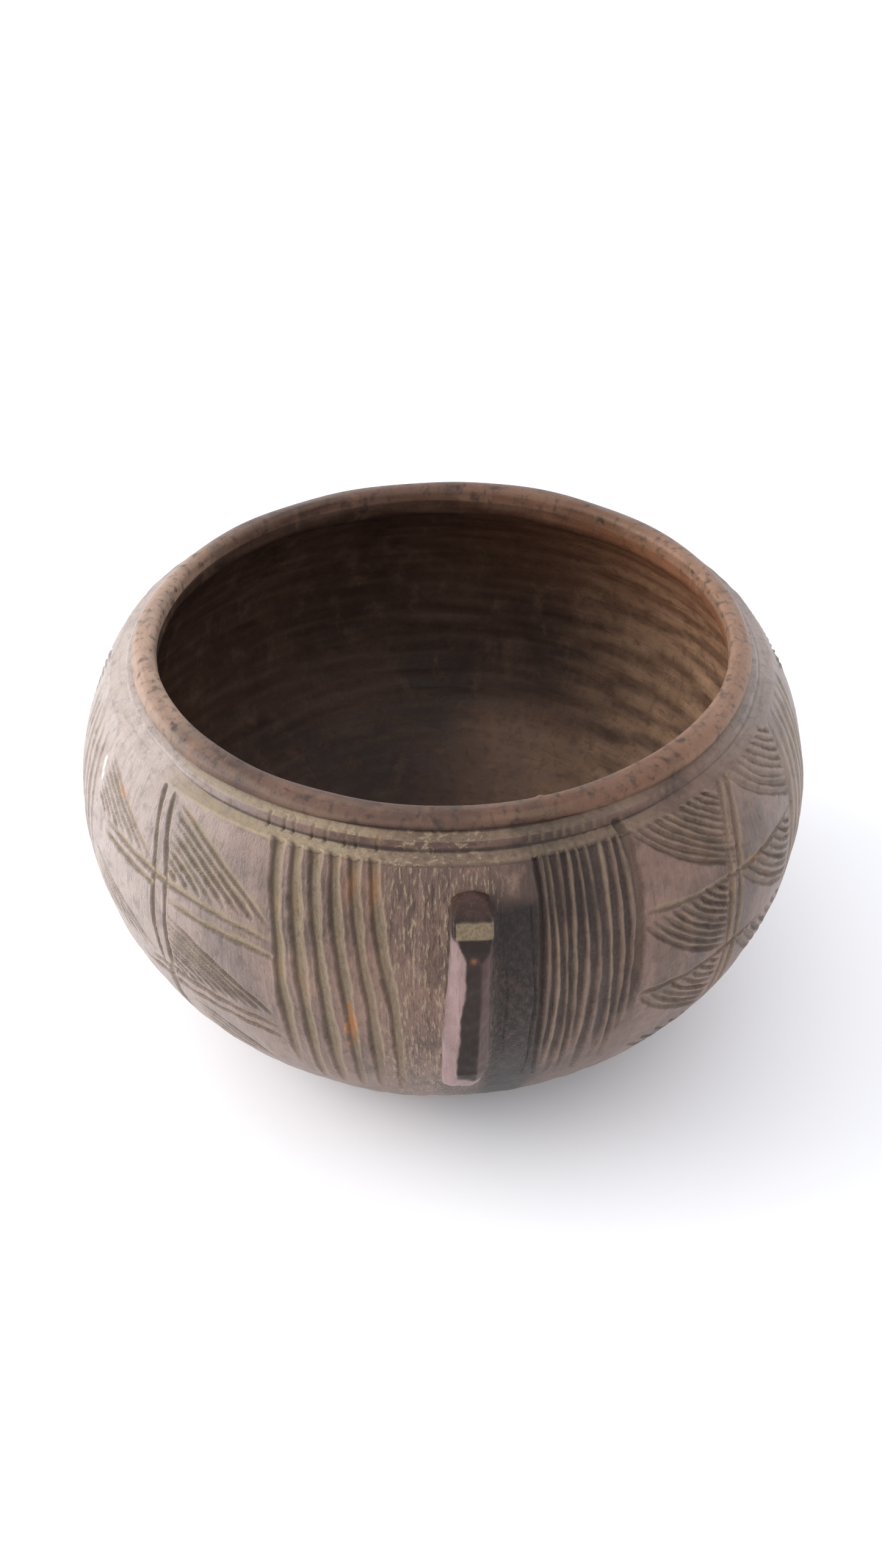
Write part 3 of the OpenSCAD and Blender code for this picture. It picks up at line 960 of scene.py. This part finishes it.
# Dark colour of soot and of painted shade
SOOT_AND_SHADE = srgb(26, 18, 15)
outer_wood = wood("outer_wood", srgb(140, 113, 100), srgb(117, 91, 79), srgb(54, 40, 35),
                  KHAKI, BARE, LILAC, gloss=0.46, bump=0.85)
inner_wood = wood("inner_wood", srgb(126, 98, 80), srgb(88, 63, 51), srgb(44, 32, 28),
                  srgb(150, 122, 94), srgb(136, 86, 56), srgb(178, 142, 113),
                  streak=(6, 750), chip=(14, 420), gloss=0.5, bump=0.45, sheen=0.0)
collar_wood = wood("collar_wood", srgb(126, 100, 86), srgb(102, 78, 67),
                   srgb(52, 38, 33), KHAKI, BARE, LILAC, streak=(5, 700),
                   chip=(40, 500), gloss=0.48, bump=0.5)
lip_wood = wood("lip_wood", srgb(124, 91, 73), srgb(98, 71, 58), srgb(46, 34, 30),
                srgb(140, 120, 96), srgb(142, 94, 60), srgb(164, 135, 115),
                streak=(7, 500), chip=(60, 500), gloss=0.45, bump=0.35, spotty=0.85)
handle_wood = wood("handle_wood", srgb(90, 64, 56), srgb(66, 44, 38), srgb(38, 22, 16),
                   srgb(128, 114, 90), srgb(140, 90, 50), srgb(144, 120, 117),
                   streak=(60, 60), chip=(140, 160), gloss=0.34, bump=0.22, sheen=0.05,
                   rough_on_dark=0.0, spotty=0.1, shine=0.22)

# ---------- the handle
# Sections of the lug: height, reach from the axis, then the x of its left edge, left
# corner, right corner and right edge, and how far the edges stand behind the front.
LUG_SECTIONS = [
    (112.6, 102.0, -0.6, -0.4, 0.4, 0.6, 0.2),
    (112.0, 104.0, -3.2, -2.9, 2.9, 3.2, 0.3),
    (111.0, 108.2, -4.5, -4.2, 4.3, 4.6, 0.4),
    (110.0, 112.0, -5.3, -4.9, 4.9, 5.3, 0.5),
    (106.4, 114.9, -5.3, -4.3, 4.9, 5.3, 0.9),
    (103.5, 115.9, -5.4, -3.0, 4.5, 5.4, 2.0),
    (100.0, 116.4, -5.6, -1.3, 2.6, 5.5, 3.2),
    (92.0, 116.9, -5.7, -1.4, 2.7, 5.7, 3.5),
    (80.0, 117.3, -6.0, -2.0, 3.0, 6.0, 3.5),
    (68.0, 117.4, -6.2, -2.2, 3.0, 6.2, 3.3),
    (60.0, 117.2, -6.1, -2.0, 3.2, 6.0, 2.8),
    (57.0, 116.2, -5.9, -2.3, 3.0, 5.4, 2.2),
    (53.5, 114.6, -5.4, -2.7, 2.3, 4.2, 1.4),
    (51.0, 112.2, -4.6, -2.7, 1.2, 3.0, 0.8),
    (49.6, 109.5, -3.6, -2.3, 0.6, 2.0, 0.5),
]
LUG_ROOT_R = 101.3      # inside the wood of the side, clear of the hollow
LUG_VOXEL = 0.42
LUG_FRONT_R = 115       # about where the lug's front lies


def lug_points():
    """Six corners of each section, in mm: root, edge and corner, left then right."""
    pts = []
    for z, reach, left, left_in, right_in, right, back in LUG_SECTIONS:
        drift = LUG_LEAN * (z - LUG_MID_Z)
        for x, r in ((left, LUG_ROOT_R), (left, reach - back), (left_in, reach),
                     (right_in, reach), (right, reach - back), (right, LUG_ROOT_R)):
            pts.append((x + drift, -r, z))
    return np.array(pts)


def worn_block():
    """The hull of the lug's sections as a fine mesh, with its edges worn round."""
    rough = bmesh.new()
    for p in lug_points():
        rough.verts.new(p * MM)
    hull = bmesh.ops.convex_hull(rough, input=rough.verts)
    bmesh.ops.delete(rough, geom=list({g for g in hull["geom_interior"]
                                       if isinstance(g, bmesh.types.BMVert)}),
                     context="VERTS")
    block = bpy.data.meshes.new("lug_block")
    rough.to_mesh(block)
    rough.free()
    holder = placed("lug_block", block)
    remesh = holder.modifiers.new("voxels", "REMESH")
    remesh.mode = "VOXEL"
    remesh.voxel_size = LUG_VOXEL * MM
    ease = holder.modifiers.new("ease", "SMOOTH")
    ease.factor = 0.5
    ease.iterations = 4
    found = holder.evaluated_get(bpy.context.evaluated_depsgraph_get())
    made = bpy.data.meshes.new_from_object(found)
    bpy.data.objects.remove(holder)
    bpy.data.meshes.remove(block)
    return made


def handle_piece(material):
    """The lug: a faceted block, worn round at its edges, with faint knife marks."""
    made = worn_block()
    count = len(made.vertices)
    co = np.empty(count * 3)
    made.vertices.foreach_get("co", co)
    co = co.reshape(-1, 3) / MM
    normal = np.empty(count * 3)
    made.vertices.foreach_get("normal", normal)
    normal = normal.reshape(-1, 3)
    x, y, z = co.T
    rng = np.random.default_rng(5)
    rub = wave_sum(waves(rng, 14, (0, 0.1), (1, 0.5), 0.10), x * 0.7, z)
    rub += wave_sum(waves(rng, 14, (0, 0.4), (1, 1.6), 0.05), x * 1.3 + y * 0.4, z)
    co += normal * rub[:, None]
    made.vertices.foreach_set("co", (co * MM).ravel())
    # The marks follow the facets, the flat top and the lower tip
    sections = np.array(LUG_SECTIONS)[::-1]
    across = x - LUG_LEAN * (z - LUG_MID_Z)
    wander = 0.22 * np.sin(0.37 * z) + 0.1 * np.sin(1.3 * z + 1)
    left_in = np.interp(z, sections[:, 0], sections[:, 3]) + wander
    right_in = np.interp(z, sections[:, 0], sections[:, 4]) + 0.6 * wander
    outer = smooth(108, 112, np.hypot(x, y))
    low = smooth(58.5, 56.5, z + 0.35 * across) * outer
    top = between(106.7, 110.1, z, 0.25) * outer * (across > -4.6)
    left = smooth(left_in + 0.3, left_in - 0.3, across) * smooth(107.5, 106.0, z) * outer
    right = smooth(right_in - 0.5, right_in + 0.5, across) * outer
    middle = (1 - left) * (1 - right) * (1 - low) * (1 - top) * outer
    spotted = 0.8 * np.exp(-(((z - 100.6) / 1.2) ** 2 + ((across - 0.3) / 1.0) ** 2))
    none = np.zeros(count)
    # The front facet is darkened, partly dark polish and partly painted shade; the flat top
    # gets pale dust
    marks = np.stack([0.8 * top, spotted, 0.8 * middle * (1 - spotted), none], -1)
    # Painted light on the left facet, a painted reflection of the pale floor on the lower
    # tip, and faint painted light on the right facet
    bloomed_and_lit = np.maximum(0.9 * left, np.maximum(0.9 * low, 0.1 * right * (1 - top)))
    tones = np.stack([bloomed_and_lit, none + 0.1, none, none], -1)
    grain = np.stack([x / LUG_FRONT_R, y / LUG_FRONT_R, z * MM], -1)
    paint(made, marks, tones, grain)
    made.polygons.foreach_set("use_smooth", np.ones(len(made.polygons), bool))
    made.materials.clear()
    made.materials.append(material)
    made.name = "carved_handle"
    obj = placed("carved_handle", made)
    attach(obj, "root")
    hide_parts("handle")
    return obj


# ---------- the pieces
for node in ("base", "lower_body", "belly", "shoulder"):
    bowl_piece(node, outer_wood, inner_wood)
bowl_piece("collar", collar_wood, inner_wood)
bowl_piece("lip", lip_wood, inner_wood)
handle_piece(handle_wood)

# ---------- floor, light, camera
CENTRE = (0.0, 0.0, 62.5 * MM)      # what the camera and the window look at
PAPER = (0.93, 0.93, 0.945, 1)
FLOOR_HALF = 4.0        # metres
FLOOR_Z_M = -0.0002     # a hair below the underside, so that the two don't coincide


def floor():
    mesh = bpy.data.meshes.new("floor")
    w, z = FLOOR_HALF, FLOOR_Z_M
    mesh.from_pydata([(-w, -w, z), (w, -w, z), (w, w, z), (-w, w, z)], [], [(0, 1, 2, 3)])
    obj = placed("floor", mesh)
    n = Nodes("floor_paper")
    bsdf = n.new("BsdfPrincipled", Roughness=0.8, **{"Base Color": PAPER})
    n.link(bsdf.outputs[0], n.out.inputs["Surface"])
    mesh.materials.append(n.material)


def aim(obj, target):
    way = Vector(target) - obj.location
    obj.rotation_euler = way.to_track_quat("-Z", "Y").to_euler()


def area_light(name, place, size, power, colour=(1, 1, 1)):
    data = bpy.data.lights.new(name, "AREA")
    data.shape = "RECTANGLE"
    data.size, data.size_y = size
    data.energy = power
    data.color = colour
    obj = placed(name, data)
    obj.location = place
    aim(obj, CENTRE)


def sky(from_left, from_right, colour):
    """A plain pale room; the two numbers are its strength on either side."""
    world = bpy.data.worlds.new("studio")
    world.use_nodes = True
    tree = world.node_tree
    back = tree.nodes["Background"]
    back.inputs["Color"].default_value = (*colour, 1)
    where = tree.nodes.new("ShaderNodeTexCoord")
    parts = tree.nodes.new("ShaderNodeSeparateXYZ")
    scale = tree.nodes.new("ShaderNodeMapRange")
    for key, value in (("From Min", -1), ("From Max", 1), ("To Min", from_left),
                       ("To Max", from_right)):
        scale.inputs[key].default_value = value
    tree.links.new(where.outputs["Generated"], parts.inputs[0])
    tree.links.new(parts.outputs["X"], scale.inputs["Value"])
    tree.links.new(scale.outputs["Result"], back.inputs["Strength"])
    bpy.context.scene.world = world


def camera(azimuth, elevation, distance, shift):
    """Facing CENTRE; azimuth 0 is the front."""
    data = bpy.data.cameras.new("camera")
    data.lens = 50
    data.shift_x, data.shift_y = shift
    obj = placed("camera", data)
    a, e = math.radians(azimuth), math.radians(elevation)
    away = Vector((math.sin(a) * math.cos(e), -math.cos(a) * math.cos(e), math.sin(e)))
    obj.location = Vector(CENTRE) + away * distance
    aim(obj, CENTRE)
    bpy.context.scene.camera = obj


floor()
area_light("window", place=(-1.35, 0.12, 0.6), size=(1.1, 0.9), power=18,
           colour=(1.0, 0.985, 0.965))
sky(from_left=1.36, from_right=1.12, colour=(0.955, 0.965, 1.0))
camera(azimuth=-3.5, elevation=38.0, distance=0.682, shift=(-0.0007, 0.0121))
bpy.context.scene.view_settings.view_transform = "Standard"
